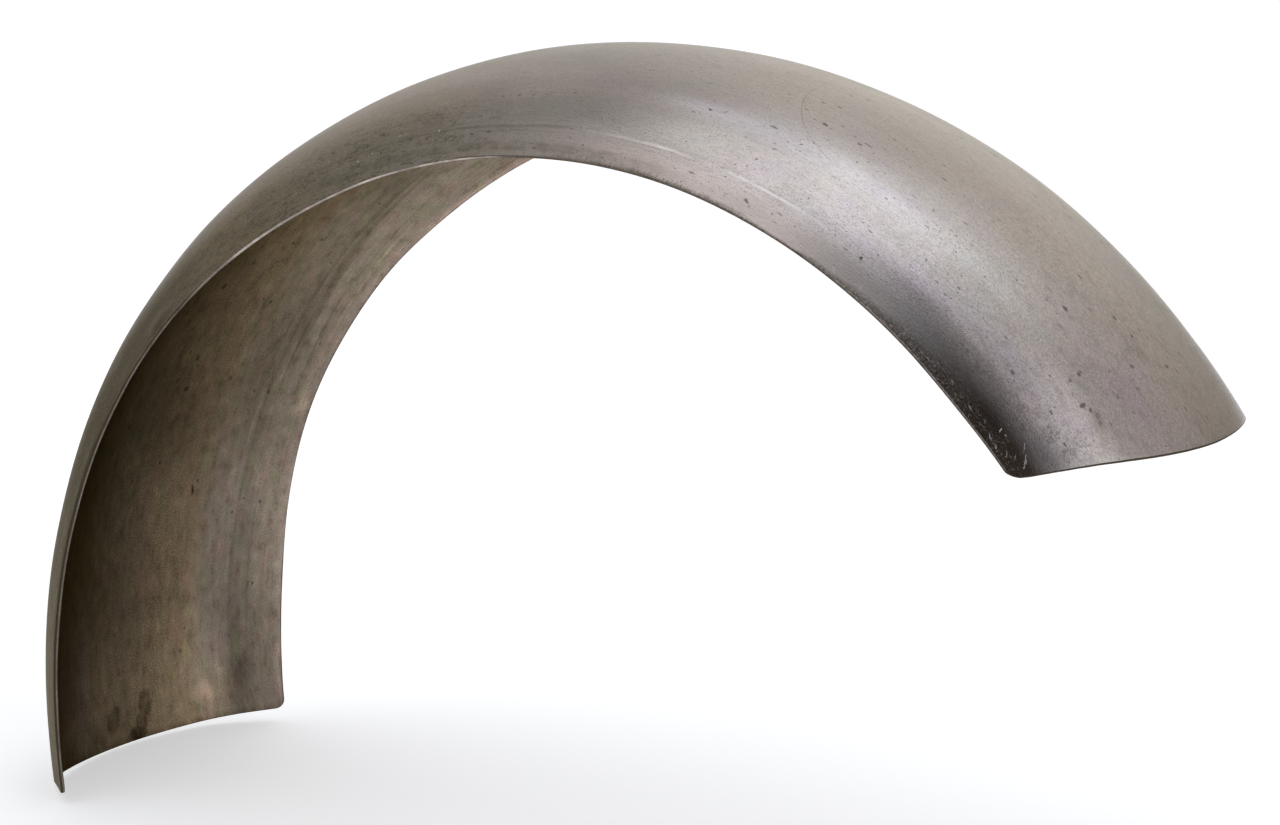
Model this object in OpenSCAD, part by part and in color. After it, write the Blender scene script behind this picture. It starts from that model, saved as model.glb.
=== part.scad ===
// Rear fender for a motorcycle wheel: one sheet, rolled round the wheel, with its sides turned down.
// Millimetres. The origin is the wheel axle's centre, +Y is the axle and +Z is up.
// Angles round the axle are counted from +X towards +Z.

/* [Sheet] */
// Thickness of the sheet
sheet_t = 2; // [1.2:0.1:3]

/* [Arch] */
// Outside radius of the crown line round the axle
crown_r = 340; // [300:1:400]
// Angle at which the lower end is cut square across
low_end_angle = 188.5; // [170:0.5:200]
// Angle at which the crown line meets the cut of the upper end
high_end_angle = 33; // [20:0.5:60]
// Tilt of the upper end's straight cut from level
high_cut_tilt = 2.5; // [-10:0.5:20]

/* [Section] */
// Outside radius of the wide curve across the crown
crown_bow_r = 170; // [120:1:300]
// Half of the angle that the wide curve takes
crown_half_angle = 18; // [9:3:24]
// Outside radius of the tighter curve at each shoulder
shoulder_r = 58; // [30:1:90]
// Slope of the flat skirts, from the crown's flat
skirt_angle = 51; // [42:3:84]
// Length of the flat skirt, from the soft crease to the rim
skirt_run = 18; // [8:1:40]

/* [Corners] */
// Radius of the two corners at the lower end
low_corner_r = 5; // [2:0.5:20]
// Radius of the two corners at the upper end
high_corner_r = 8; // [2:0.5:20]
// How far the corner curves run into the straight edges
corner_blend = 0.05; // [0.02:0.01:0.1]

/* [Hidden] */
// How far the cutting shapes run past the sheet
overrun = 6;
quarter = 90;
half = 180;
sides = [-1, 1];
arch_steps = 150;
section_steps = 120;
// Angle that the sheet is rolled past the cut of the upper end
spare_angle = 3;
// How far each curve of the section laps the next, so that they cross and don't just touch
lap = 0.01;

// Centres of the section's curves, as [radius from the axle, distance across]
bow_c = [crown_r - crown_bow_r, 0];
shoulder_gap = crown_bow_r - shoulder_r + lap;
function shoulder_c(side) = bow_c + shoulder_gap * [cos(crown_half_angle), side * sin(crown_half_angle)];
skirt_gap = shoulder_r - lap;
function on_shoulder(side) = shoulder_c(side) + skirt_gap * [cos(skirt_angle), side * sin(skirt_angle)];
function skirt_dir(side) = [-sin(skirt_angle), side * cos(skirt_angle)];
rim_pt = on_shoulder(1) + skirt_run * skirt_dir(1);
rim_r = rim_pt[0];
half_w = rim_pt[1];

// Where the upper end's cut meets the crown line and the rim, seen from the side
cut_dir = [cos(high_cut_tilt), sin(high_cut_tilt)];
high_crown_pt = crown_r * [cos(high_end_angle), sin(high_end_angle)];
along_cut = high_crown_pt * cut_dir;
cut_run = along_cut - sqrt(along_cut * along_cut - crown_r * crown_r + rim_r * rim_r);
high_rim_pt = high_crown_pt - cut_run * cut_dir;
high_rim_angle = atan2(high_rim_pt[1], high_rim_pt[0]);
// Angle between the rim and the upper end's edge, measured in the flat of the skirt
high_corner_angle = quarter + atan(sin(skirt_angle) * tan(high_rim_angle - high_cut_tilt));
trim_w = 2 * (half_w + overrun);
trim_drop = crown_r * sin(high_end_angle) / 2;
trim_reach = crown_r - high_crown_pt[0] + overrun;

// The space under the section's curves, with its edge moved in by depth
module filled(depth) {
    reach = crown_bow_r - depth;
    far = reach / cos(crown_half_angle);
    intersection() {
        translate(bow_c) circle(r = reach, $fn = section_steps);
        translate(bow_c)
            polygon([
                [0, 0],
                far * [cos(crown_half_angle), sin(crown_half_angle)],
                2 * far * [1, 0],
                far * [cos(crown_half_angle), -sin(crown_half_angle)]
            ]);
    }
    for (side = sides) {
        translate(shoulder_c(side)) circle(r = shoulder_r - depth, $fn = section_steps);
        skirt_side(side, depth);
    }
}

// The space behind one flat skirt, past its rim
module skirt_side(side, depth) {
    run = skirt_run + overrun;
    translate(shoulder_c(side))
        rotate(side * skirt_angle)
            translate([skirt_gap - depth - shoulder_r, side > 0 ? 0 : -run])
                square([shoulder_r, run]);
}

// Everything above the two rims, which are cut square to the skirts
module above_rims() {
    out = overrun * [cos(skirt_angle), sin(skirt_angle)];
    up = crown_r + overrun;
    middle = rim_r - half_w / tan(skirt_angle);
    polygon([
        [middle, 0],
        rim_pt + out,
        [up, half_w + overrun],
        [up, -half_w - overrun],
        [rim_pt[0] + out[0], -rim_pt[1] - out[1]]
    ]);
}

module section() {
    intersection() {
        difference() {
            filled(0);
            filled(sheet_t);
        }
        above_rims();
    }
}

module rolled_sheet() {
    rotate_extrude(
        start = high_end_angle - spare_angle,
        angle = low_end_angle - high_end_angle + spare_angle,
        $fn = arch_steps
    )
        section();
}

// The straight cut across the upper end
module high_end_trim() {
    linear_extrude(height = trim_w, center = true)
        translate(high_crown_pt)
            rotate(high_cut_tilt)
                translate([-cut_run - overrun, -trim_drop])
                    square([cut_run + overrun + trim_reach, trim_drop]);
}

// What a rounded corner takes off the skirt; inward is 1 or -1, the way into the sheet round the axle
module corner_waste(at_angle, inward, side, corner_angle, r) {
    spread = 1 / tan(corner_angle / 2);
    centre = r * [spread, 1];
    edge_out = [-sin(corner_angle), cos(corner_angle)];
    tip = -overrun * [spread, 1];
    below = centre - [0, r + overrun];
    beside = centre + (r + overrun) * edge_out;
    rotate(at_angle)
        translate([rim_r, 0, side * half_w])
            rotate([0, -side * (quarter + skirt_angle), 0])
                rotate(quarter)
                    linear_extrude(height = 2 * overrun, center = true)
                        difference() {
                            polygon([for (p = [centre, below, tip, beside]) [inward * p[0], p[1]]]);
                            translate([inward * centre[0], centre[1]])
                                circle(r = r + corner_blend, $fn = section_steps);
                        }
}

module fender_shell() {
    color([0.45, 0.43, 0.42])
        rotate([quarter, 0, 0])
            difference() {
                rolled_sheet();
                high_end_trim();
                for (side = sides) {
                    corner_waste(low_end_angle, -1, side, quarter, low_corner_r);
                    corner_waste(high_rim_angle, 1, side, high_corner_angle, high_corner_r);
                }
            }
}

fender_shell();
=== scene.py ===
"""Bare steel rear fender: one rolled sheet, as photographed on white."""
import math
from types import SimpleNamespace

import bpy
import numpy as np
from mathutils import Matrix


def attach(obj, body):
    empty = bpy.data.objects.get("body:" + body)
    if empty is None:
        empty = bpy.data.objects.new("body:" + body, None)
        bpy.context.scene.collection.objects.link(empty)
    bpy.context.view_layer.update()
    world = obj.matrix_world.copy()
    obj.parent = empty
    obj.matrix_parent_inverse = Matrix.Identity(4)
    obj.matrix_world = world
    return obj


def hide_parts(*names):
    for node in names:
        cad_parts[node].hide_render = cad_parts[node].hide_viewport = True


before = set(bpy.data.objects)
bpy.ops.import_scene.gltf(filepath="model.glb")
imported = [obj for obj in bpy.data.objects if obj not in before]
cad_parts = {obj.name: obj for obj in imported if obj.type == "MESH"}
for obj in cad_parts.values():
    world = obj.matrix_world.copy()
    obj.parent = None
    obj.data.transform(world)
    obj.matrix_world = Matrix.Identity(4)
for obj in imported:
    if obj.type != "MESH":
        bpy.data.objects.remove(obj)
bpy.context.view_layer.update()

# ---------------------------------------------------------------- the sheet, in metres and degrees
CROWN_R = 0.340
BOW_R = 0.170
SHOULDER_R = 0.058
CROWN_HALF = math.radians(18)
SKIRT_ANGLE = math.radians(51)
SKIRT_RUN = 0.018
SHEET_T = 0.002
LOW_END = math.radians(188.5)
HIGH_END = math.radians(33)
HIGH_TILT = math.radians(2.5)
LOW_CORNER_R = 0.005
HIGH_CORNER_R = 0.005
EDGE_R = 0.00055
EDGE_STEPS = (22, 45, 68, 90)      # degrees round the cut edge, from each face to its middle
S_CROWN = BOW_R * CROWN_HALF
S_CREASE = S_CROWN + SHOULDER_R * (SKIRT_ANGLE - CROWN_HALF)
S_RIM = S_CREASE + SKIRT_RUN

# how far the trimmed rim runs past its line: angle in degrees, near side and far side in mm
RIM_WANDER = [
    (33, 1.0, 0.0), (40, 2.1, 0.8), (47, 1.6, 1.0), (60, 0.6, 0.3), (77, -0.6, -0.6), (92, 0.0, 0.0),
    (105, 1.2, 1.2), (118, 2.6, 2.1), (128, 1.0, 1.6), (136, -1.0, -0.2), (145, -2.0, -1.2),
    (155, -2.2, -2.1), (166, -0.8, -0.6), (175, 0.8, 1.1), (182, 1.2, 0.8), (188.5, 0.0, -0.2),
]
# how far the upper end is cut back, and the lower end runs on: place across and distance, in mm
HIGH_WANDER = [
    (-104.8, 0.2), (-101.8, -1.0), (-97.7, -0.7), (-93.7, 0.0), (-85.7, 1.3), (-77.5, 2.4), (-68.7, 3.1),
    (-64, 3.2), (-54, 3.1), (-43, 2.5), (-31, 1.7), (-18.5, 0.9), (-6, 0.3), (5, 0.0), (104.8, 0.0),
]
LOW_WANDER = [(-104.8, 3.0), (-100, 2.2), (-95, 1.0), (-90, 0.3), (-85, 0.0), (104.8, 0.0)]
# how far the crown stands proud toward the upper end: angle in degrees, mm
CROWN_LIFT = [(33, 2.2), (36, 1.8), (42, 1.2), (50, 0.9), (60, 0.5), (70, 0.2), (80, 0.0)]
# slight waves of the whole sheet: height in mm, waves along, phase, skew, waves across, phase
WAVES = [(0.22, 21, 1.3, 9, 17, 0.4), (0.14, 47, 2.1, -23, 31, 1.9), (0.06, 95, 0.7, 40, 58, 0.3)]
# dents (depth above 0) and low bulges (below 0): angle in degrees, then place across, depth, half length and
# half width in mm
DINGS = [(139, -97, -0.5, 9, 4), (124, -95, -0.35, 14, 5), (112, -60, 0.25, 22, 12), (58, -40, 0.2, 26, 16)]
# mesh rows: along the arc, and across each half's crown, shoulder and skirt (closer together by the rim)
COLS = 380
CROWN_ROWS, SHOULDER_ROWS, SKIRT_ROWS = 20, 18, 14
RIM_CROWDING = 1.8


def smooth_table(rows, column, angle):
    """A soft curve through a short table."""
    xs = np.radians([r[0] for r in rows])
    ys = np.array([r[column] for r in rows]) * 1e-3
    slope = np.gradient(ys, xs)
    k = np.clip(np.searchsorted(xs, angle) - 1, 0, len(xs) - 2)
    w = xs[k + 1] - xs[k]
    t = np.clip((angle - xs[k]) / w, 0, 1)
    h00, h10 = 2 * t**3 - 3 * t**2 + 1, t**3 - 2 * t**2 + t
    h01, h11 = -2 * t**3 + 3 * t**2, t**3 - t**2
    return h00 * ys[k] + h10 * w * slope[k] + h01 * ys[k + 1] + h11 * w * slope[k + 1]


def section(s):
    """Distance across, drop from the crown line and slope, at arc length s from the crown line."""
    a = np.clip(s, 0, S_CROWN) / BOW_R
    b = CROWN_HALF + np.clip(s - S_CROWN, 0, S_CREASE - S_CROWN) / SHOULDER_R
    run = np.clip(s - S_CREASE, 0, None)
    gap = BOW_R - SHOULDER_R
    on_crown = s <= S_CROWN
    slope = np.where(on_crown, a, b)
    y = np.where(on_crown, BOW_R * np.sin(a), gap * math.sin(CROWN_HALF) + SHOULDER_R * np.sin(b))
    h = np.where(on_crown, BOW_R * (1 - np.cos(a)),
                 BOW_R - gap * math.cos(CROWN_HALF) - SHOULDER_R * np.cos(b))
    return y + run * math.cos(SKIRT_ANGLE), h + run * math.sin(SKIRT_ANGLE), slope


def corner_pull(b, r, angle):
    """How far a rounded corner pulls the end's edge back at distance b from the rim."""
    cot = math.cos(angle) / math.sin(angle)
    centre = r / math.tan(angle / 2)
    inside = np.clip(r * r - (r - b) ** 2, 0, None)
    return np.where(b < r * (1 + math.cos(angle)), centre - np.sqrt(inside) - b * cot, 0)


def high_end_angle(r):
    """Where the upper end's straight cut meets the radius r."""
    p = CROWN_R * np.array([math.cos(HIGH_END), math.sin(HIGH_END)])
    d = np.array([math.cos(HIGH_TILT), math.sin(HIGH_TILT)])
    along = p @ d
    run = along - np.sqrt(along**2 - CROWN_R**2 + r**2)
    return np.arctan2(p[1] - run * d[1], p[0] - run * d[0])


def wave(angle, across):
    """Slight hand-formed unevenness of the whole sheet, along its normal."""
    u = angle * CROWN_R
    return 1e-3 * sum(high * np.sin(u * along + phase + across * skew) * np.cos(across * wide + turn)
                      for high, along, phase, skew, wide, turn in WAVES)


def crown_lift(angle, across):
    """The crown's slight rise toward the upper end, full on the far half and gone by the rims."""
    degrees, height = np.array(CROWN_LIFT).T
    on = np.clip((across + 0.05) / 0.05, 0, 1)
    off = np.clip((0.1 - across) / 0.04, 0, 1)
    share = on * on * (3 - 2 * on) * off * off * (3 - 2 * off)
    return np.interp(np.degrees(angle), degrees, height) * 1e-3 * share


def end_wander(table, across):
    """How far an end's edge departs from its cut, at a place across."""
    places, run = np.array(table).T
    return np.interp(across * 1e3, places, run) * 1e-3


def dings(angle, across):
    """Shallow dents and low bulges, along the normal."""
    out = 0 * angle
    for a, v, depth, hl, hw in DINGS:
        du = (angle - math.radians(a)) * CROWN_R / (hl * 1e-3)
        dv = (across - v * 1e-3) / (hw * 1e-3)
        out = out - depth * 1e-3 * np.exp(-(du**2 + dv**2))
    return out


def sheet_rows():
    """Rows across the sheet: share of the way, as (part, share), from the near rim to the far rim."""
    crown = [(0, k / CROWN_ROWS) for k in range(CROWN_ROWS)]
    shoulder = [(1, k / SHOULDER_ROWS) for k in range(SHOULDER_ROWS)]
    skirt = [(2, 1 - (1 - k / SKIRT_ROWS) ** RIM_CROWDING) for k in range(SKIRT_ROWS + 1)]
    half = crown + shoulder + skirt
    return [(-1, p, t) for p, t in reversed(half)] + [(1, p, t) for p, t in half[1:]]


def sheet_grid():
    """Outer face of the sheet as a grid [row, column]: points, normals, place, distance from the edges."""
    rows = sheet_rows()
    u = np.linspace(0, 1, COLS)
    mean_angle = HIGH_END + (LOW_END - HIGH_END) * u
    pts, nrm, where, margin = [], [], [], []
    rim_drop = section(np.array(S_RIM))[1]
    rim_angle = high_end_angle(CROWN_R - rim_drop)
    cot = -math.sin(SKIRT_ANGLE) * math.tan(rim_angle - HIGH_TILT)
    high_corner = math.atan2(1, cot)
    for side, part, share in rows:
        wander = smooth_table(RIM_WANDER, 1 if side < 0 else 2, mean_angle)
        rim = S_RIM + wander
        if part == 0:
            s = np.full(COLS, S_CROWN * share)
        elif part == 1:
            s = np.full(COLS, S_CROWN + (S_CREASE - S_CROWN) * share)
        else:
            s = S_CREASE + (rim - S_CREASE) * share
        y, h, slope = section(s)
        r = CROWN_R - h
        b = rim - s
        back = corner_pull(b[0], HIGH_CORNER_R, high_corner) + end_wander(HIGH_WANDER, side * s[0])
        first = high_end_angle(r[0]) + back / r[0]
        back = corner_pull(b[-1], LOW_CORNER_R, math.pi / 2) - end_wander(LOW_WANDER, side * s[-1])
        last = LOW_END - back / r[-1]
        angle = first + (last - first) * u
        lift = wave(angle, side * s) + dings(angle, side * s) + crown_lift(angle, side * s)
        ca, sa = np.cos(angle), np.sin(angle)
        n = np.stack([np.cos(slope) * ca, side * np.sin(slope), np.cos(slope) * sa], -1)
        p = np.stack([r * ca, side * y, r * sa], -1) + lift[:, None] * n
        pts.append(p)
        nrm.append(n)
        where.append(np.stack([angle * CROWN_R, side * s, 0 * s], -1))
        margin.append(np.stack([b, (angle - first) * r, (last - angle) * r], -1))
    return np.array(pts), np.array(nrm), np.array(where), np.array(margin)


def border(n_rows, n_cols):
    """The grid's edge, once round, as (row, column)."""
    out = [(0, c) for c in range(n_cols)]
    out += [(r, n_cols - 1) for r in range(1, n_rows)]
    out += [(n_rows - 1, c) for c in range(n_cols - 2, -1, -1)]
    out += [(r, 0) for r in range(n_rows - 2, 0, -1)]
    return out


def edge_directions(pts, nrm, ri, ci):
    """Outward direction, in the plane of the sheet, at each point of its edge."""
    edge_p = pts[ri, ci]
    along = np.roll(edge_p, -1, 0) - np.roll(edge_p, 1, 0)
    along /= np.linalg.norm(along, axis=1, keepdims=True)
    out = np.cross(along, nrm[ri, ci])
    out /= np.linalg.norm(out, axis=1, keepdims=True)
    middle = pts.shape[1] // 2
    centre = pts[pts.shape[0] // 2, middle]
    return -out if out[middle] @ (edge_p[middle] - centre) < 0 else out


def edge_loops(edge_p, edge_n, out):
    """The softened cut edge as loops of points, from the outer face to the inner one."""
    steps = [math.radians(a) for a in EDGE_STEPS]
    base = edge_p - EDGE_R * out - EDGE_R * edge_n
    loops = [base + EDGE_R * (math.sin(a) * out + math.cos(a) * edge_n) for a in steps]
    base = edge_p - EDGE_R * out - (SHEET_T - EDGE_R) * edge_n
    return loops + [base + EDGE_R * (math.sin(a) * out - math.cos(a) * edge_n) for a in reversed(steps)]


def sheet_faces(n_rows, n_cols, ri, ci, n_loops):
    """Corners of every face, and its material: 0 outer face, 1 inner face, 2 cut edge."""
    size, count = n_rows * n_cols, len(ri)
    faces, kind = [], []
    for r in range(n_rows - 1):
        for c in range(n_cols - 1):
            a, b = r * n_cols + c, r * n_cols + c + 1
            d, e = a + n_cols, b + n_cols
            faces += [(a, b, e, d), (size + a, size + d, size + e, size + b)]
            kind += [0, 1]
    flat = ri * n_cols + ci
    rounds = [flat] + [2 * size + k * count + np.arange(count) for k in range(n_loops)] + [size + flat]
    for lo, hi in zip(rounds, rounds[1:]):
        for i in range(count):
            j = (i + 1) % count
            faces.append((lo[j], lo[i], hi[i], hi[j]))
            kind.append(2)
    return [tuple(int(i) for i in f) for f in faces], kind


def make_sheet(materials):
    """The sheet as one closed skin: outer face, inner face and a softened cut edge all round."""
    pts, nrm, where, margin = sheet_grid()
    n_rows, n_cols = pts.shape[:2]
    ri, ci = np.array(border(n_rows, n_cols)).T
    out = edge_directions(pts, nrm, ri, ci)
    outer = pts.copy()
    outer[ri, ci] = pts[ri, ci] - EDGE_R * out
    loops = edge_loops(pts[ri, ci], nrm[ri, ci], out)
    verts = [outer.reshape(-1, 3), (outer - SHEET_T * nrm).reshape(-1, 3)] + loops
    place = [where.reshape(-1, 3), where.reshape(-1, 3) + [0, 0, 1]]
    place += [where[ri, ci] + [0, 0, (k + 1) / (len(loops) + 1)] for k in range(len(loops))]
    edges = [margin.reshape(-1, 3)] * 2 + [margin[ri, ci]] * len(loops)
    faces, kind = sheet_faces(n_rows, n_cols, ri, ci, len(loops))
    mesh = bpy.data.meshes.new("fender_skin")
    mesh.from_pydata(np.concatenate(verts).tolist(), [], faces)
    mesh.update()
    for m in materials:
        mesh.materials.append(m)
    mesh.polygons.foreach_set("material_index", kind)
    mesh.polygons.foreach_set("use_smooth", [True] * len(faces))
    for name, values in (("sheet", place), ("edges", edges)):
        layer = mesh.attributes.new(name, "FLOAT_VECTOR", "POINT")
        layer.data.foreach_set("vector", np.concatenate(values).astype(np.float32).ravel())
    mesh.validate()
    piece = bpy.data.objects.new("fender_skin", mesh)
    bpy.context.collection.objects.link(piece)
    return piece


# ---------------------------------------------------------------- node helpers
class Nodes:
    """Small helper for writing shader nodes as expressions."""

    def __init__(self, tree):
        self.tree = tree
        self.tree.nodes.clear()

    def new(self, kind, **values):
        """A node with some of its own settings."""
        node = self.tree.nodes.new(kind)
        for key, value in values.items():
            setattr(node, key, value)
        return node

    def put(self, socket, value):
        """A number or colour on the socket itself, or a link to it."""
        if isinstance(value, (int, float)):
            socket.default_value = value if socket.type != "VECTOR" else (value,) * 3
        elif isinstance(value, (tuple, list)):
            socket.default_value = value if len(value) != 3 or socket.type != "RGBA" else (*value, 1)
        else:
            self.tree.links.new(value, socket)

    def math(self, op, a, b=None, clamp=False):
        """One sum; b stays out of it where only a counts."""
        node = self.new("ShaderNodeMath", operation=op, use_clamp=clamp)
        for socket, value in zip(node.inputs, (a, b)):
            if value is not None:
                self.put(socket, value)
        return node.outputs[0]

    def add(self, a, b):
        return self.math("ADD", a, b)

    def mul(self, a, b):
        return self.math("MULTIPLY", a, b)

    def vector(self, x, y, z=0.0):
        node = self.new("ShaderNodeCombineXYZ")
        for socket, value in zip(node.inputs, (x, y, z)):
            self.put(socket, value)
        return node.outputs[0]

    def most(self, a, b, clamp=False):
        return self.math("MAXIMUM", a, b, clamp)

    def ramp(self, value, lo, hi, out_lo=0.0, out_hi=1.0):
        """Smooth change from out_lo at lo to out_hi at hi; lo may be the larger of the two."""
        node = self.new("ShaderNodeMapRange", interpolation_type="SMOOTHSTEP")
        for name, v in (("Value", value), ("From Min", lo), ("From Max", hi),
                        ("To Min", out_lo), ("To Max", out_hi)):
            self.put(node.inputs[name], v)
        return node.outputs[0]

    def noise(self, place, detail, rough):
        node = self.new("ShaderNodeTexNoise")
        self.put(node.inputs["Vector"], place)
        self.put(node.inputs["Scale"], 1.0)
        self.put(node.inputs["Detail"], detail)
        self.put(node.inputs["Roughness"], rough)
        return node.outputs[0]

    def cells(self, place):
        """Distance from the middle of each cell, and the cell's random colour."""
        node = self.new("ShaderNodeTexVoronoi")
        self.put(node.inputs["Vector"], place)
        self.put(node.inputs["Scale"], 1.0)
        return node.outputs["Distance"], node.outputs["Color"]

    def mix(self, share, a, b, how="MIX"):
        """Colour a, changed by b as far as share says."""
        node = self.new("ShaderNodeMix", data_type="RGBA", blend_type=how)
        self.put(node.inputs[0], share)
        self.put(node.inputs[6], a)
        self.put(node.inputs[7], b)
        return node.outputs[2]

    def bump(self, height, distance):
        node = self.new("ShaderNodeBump")
        self.put(node.inputs["Strength"], 1.0)
        self.put(node.inputs["Distance"], distance)
        self.put(node.inputs["Height"], height)
        return node.outputs[0]


def finish_surface(n, colour, rough, normal, metallic, grazing):
    """The surface; grazing is the colour that its sheen takes at a shallow angle."""
    shader = n.new("ShaderNodeBsdfPrincipled")
    n.put(shader.inputs["Specular Tint"], grazing)
    n.put(shader.inputs["Base Color"], colour)
    n.put(shader.inputs["Roughness"], rough)
    n.put(shader.inputs["Metallic"], metallic)
    n.put(shader.inputs["Normal"], normal)
    out = n.new("ShaderNodeOutputMaterial")
    n.put(out.inputs["Surface"], shader.outputs[0])


def new_material(name):
    mat = bpy.data.materials.new(name)
    mat.use_nodes = True
    return mat, Nodes(mat.node_tree)


def split_attribute(n, name):
    """The three numbers that the mesh keeps at each point under this name."""
    node = n.new("ShaderNodeAttribute", attribute_name=name)
    split = n.new("ShaderNodeSeparateXYZ")
    n.put(split.inputs[0], node.outputs["Vector"])
    return split.outputs[0], split.outputs[1], split.outputs[2]


def place_of(n):
    """The point of the sheet: metres along the arc and across (near side below 0), share of thickness."""
    return split_attribute(n, "sheet")


def edges_of(n):
    """Metres from the rim, from the upper end and from the lower end."""
    return split_attribute(n, "edges")


def at(angle):
    """Metres along the crown line for an angle in degrees."""
    return math.radians(angle) * CROWN_R


def wobbled(n, u, v, size, fineness):
    """The sheet's place with a little noise in it, so that marks get uneven edges."""
    place = n.vector(u, v)
    node = n.new("ShaderNodeTexNoise")
    n.put(node.inputs["Vector"], place)
    n.put(node.inputs["Scale"], fineness)
    n.put(node.inputs["Detail"], 2.0)
    shift = n.new("ShaderNodeVectorMath", operation="MULTIPLY_ADD")
    n.put(shift.inputs[0], node.outputs["Color"])
    n.put(shift.inputs[1], (size, size, 0))
    n.put(shift.inputs[2], (-size / 2, -size / 2, 0))
    total = n.new("ShaderNodeVectorMath", operation="ADD")
    n.put(total.inputs[0], place)
    n.put(total.inputs[1], shift.outputs["Vector"])
    return total.outputs["Vector"]


# how deep the bump of full height is, in metres: outer face and cut edge, and inner face
OUTER_BUMP, INNER_BUMP = 0.00005, 0.00006
CHAIN_LINK = 1e-9       # too small to move a mark, and enough to make it wait for the one before


def oval_reach(n, place, spot):
    """Distance from the middle of an oval, 1 on its outline."""
    angle, across, half_long, half_wide, turn, _ = spot
    fit = n.new("ShaderNodeMapping", vector_type="TEXTURE")
    n.put(fit.inputs["Vector"], place)
    n.put(fit.inputs["Location"], (at(angle), across * 1e-3, 0))
    n.put(fit.inputs["Rotation"], (0, 0, math.radians(turn)))
    n.put(fit.inputs["Scale"], (half_long * 1e-3, half_wide * 1e-3, 1))
    far = n.new("ShaderNodeVectorMath", operation="LENGTH")
    n.put(far.inputs[0], fit.outputs[0])
    return far.outputs["Value"]


def mark(n, place, spot, soft):
    """An oval mark: (angle, across mm, half length mm, half width mm, turn degrees, strength)."""
    return n.ramp(oval_reach(n, place, spot), 1.0, 1.0 - soft, 0.0, spot[-1])


def marks(n, place, spots, soft):
    """The strongest of many marks; each waits for the one before, which keeps the shader small."""
    total = 0.0
    for spot in spots:
        step = n.new("ShaderNodeVectorMath", operation="MULTIPLY_ADD")
        n.put(step.inputs[0], total)
        n.put(step.inputs[1], (CHAIN_LINK, CHAIN_LINK, 0))
        n.put(step.inputs[2], place)
        total = n.most(total, mark(n, step.outputs["Vector"], spot, soft))
    return total


def ring(n, place, spot, radius, width):
    """An oval ring; radius and width are shares of the mark's size."""
    off = n.math("ABSOLUTE", n.math("SUBTRACT", oval_reach(n, place, spot), radius))
    return n.ramp(off, width, 0.3 * width, 0.0, spot[-1])


def field(n, u, v, along, across, seed, detail, rough):
    """Noise over the sheet: its fineness per metre along and across, a seed, detail and roughness."""
    return n.noise(n.vector(n.mul(u, along), n.mul(v, across), seed), detail, rough)


def pits(n, u, v, along, across, least, most, seed):
    """Small pits drawn out along the arc; 1 in a pit, 0 outside, and a random number per pit."""
    dist, tint = n.cells(n.vector(n.mul(u, along), n.mul(v, across), seed))
    pick = n.new("ShaderNodeSeparateColor")
    n.put(pick.inputs[0], tint)
    size = n.ramp(pick.outputs[0], 0.3, 1.0, least, most)
    return n.ramp(n.math("SUBTRACT", size, dist), 0.0, 0.4 * most), pick.outputs[1]


def window(n, value, lo, lo_full, hi_full, hi):
    """1 between lo_full and hi_full, falling to 0 at lo and hi."""
    return n.mul(n.ramp(value, lo, lo_full), n.ramp(value, hi, hi_full))


def fade(n, value, limits):
    """A window for four limits, or for two a ramp from the first to the second."""
    return window(n, value, *limits) if len(limits) == 4 else n.ramp(value, *limits)


def along_arc(n, u, *angles):
    """A fade along the arc, with its limits in degrees."""
    return fade(n, u, [at(a) for a in angles])


def tone_zones(n, colour, u, places, zones):
    """The colour multiplied zone by zone; each row names the measure that it goes by across."""
    for which, across, angles, tone in zones:
        share = n.mul(fade(n, places[which], [x * 1e-3 for x in across]), along_arc(n, u, *angles))
        colour = n.mix(share, colour, tone, "MULTIPLY")
    return colour


def toned(n, colour, rows, how="MIX"):
    """The colour changed by each row: its noise, where the change starts and is full, how far, its tone."""
    for noise, lo, hi, share, tone in rows:
        colour = n.mix(n.ramp(noise, lo, hi, 0, share), colour, tone, how)
    return colour


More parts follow.
